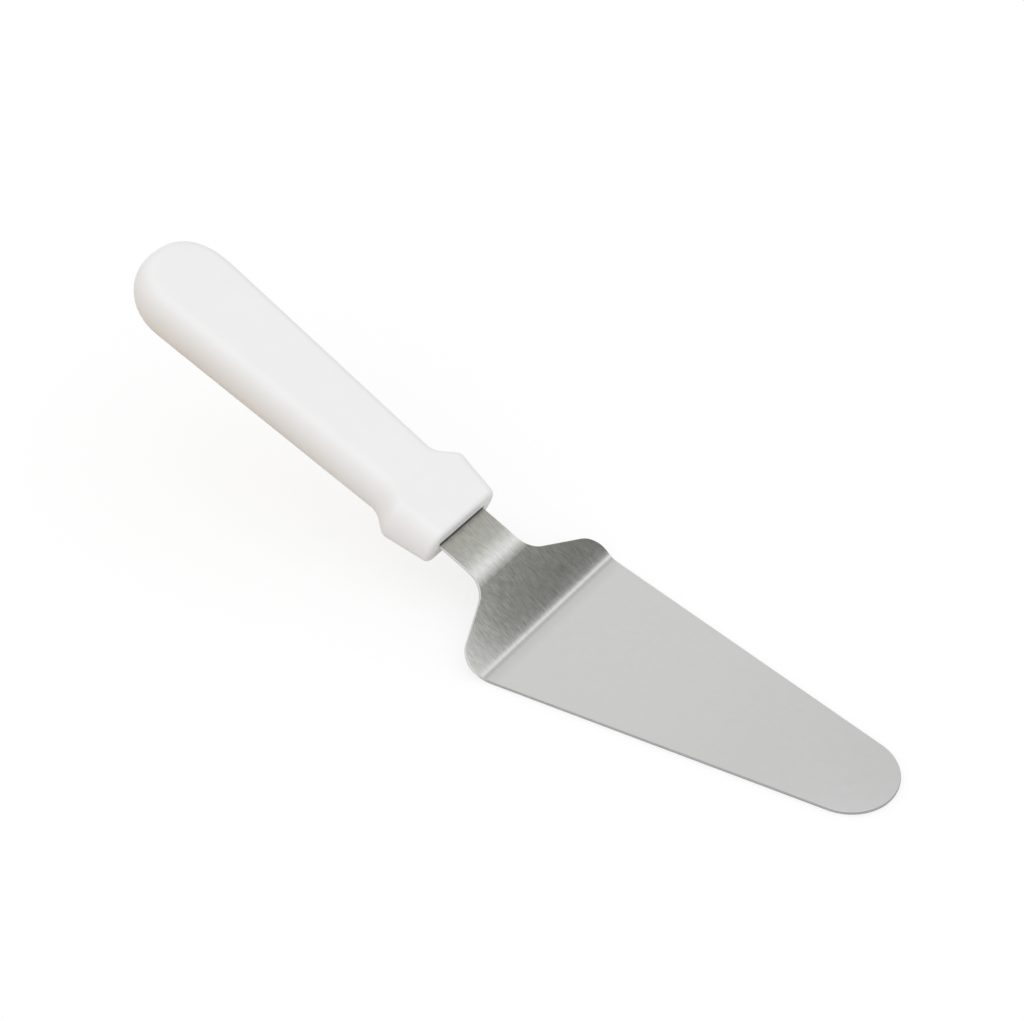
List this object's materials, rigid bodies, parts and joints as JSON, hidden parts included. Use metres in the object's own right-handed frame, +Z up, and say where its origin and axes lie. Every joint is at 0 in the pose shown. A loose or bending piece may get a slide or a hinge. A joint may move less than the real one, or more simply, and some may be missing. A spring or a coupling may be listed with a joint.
{
  "type": "cake server",
  "caption": "Offset cake server: a flat tapered blade with a round tip, a raised step behind the heel, and a white moulded handle set above it.",
  "frame": {"origin": "middle of the plate's underside: halfway between the heel and the tip, on the middle line, on the face that rests on a table", "axes": "+X from the handle to the blade's tip, +Y across the blade, +Z up out of the plate's upper face, on which a slice lies"},
  "size_m": [0.2514, 0.0608, 0.0659],
  "materials": {
    "steel": "stainless sheet, satin on the plate and brushed along its length on the step and the neck",
    "plastic": "white moulded plastic, fine satin"
  },
  "bodies": {
    "root": {"blade": "steel", "handle": "plastic"}
  },
  "joints": []
}
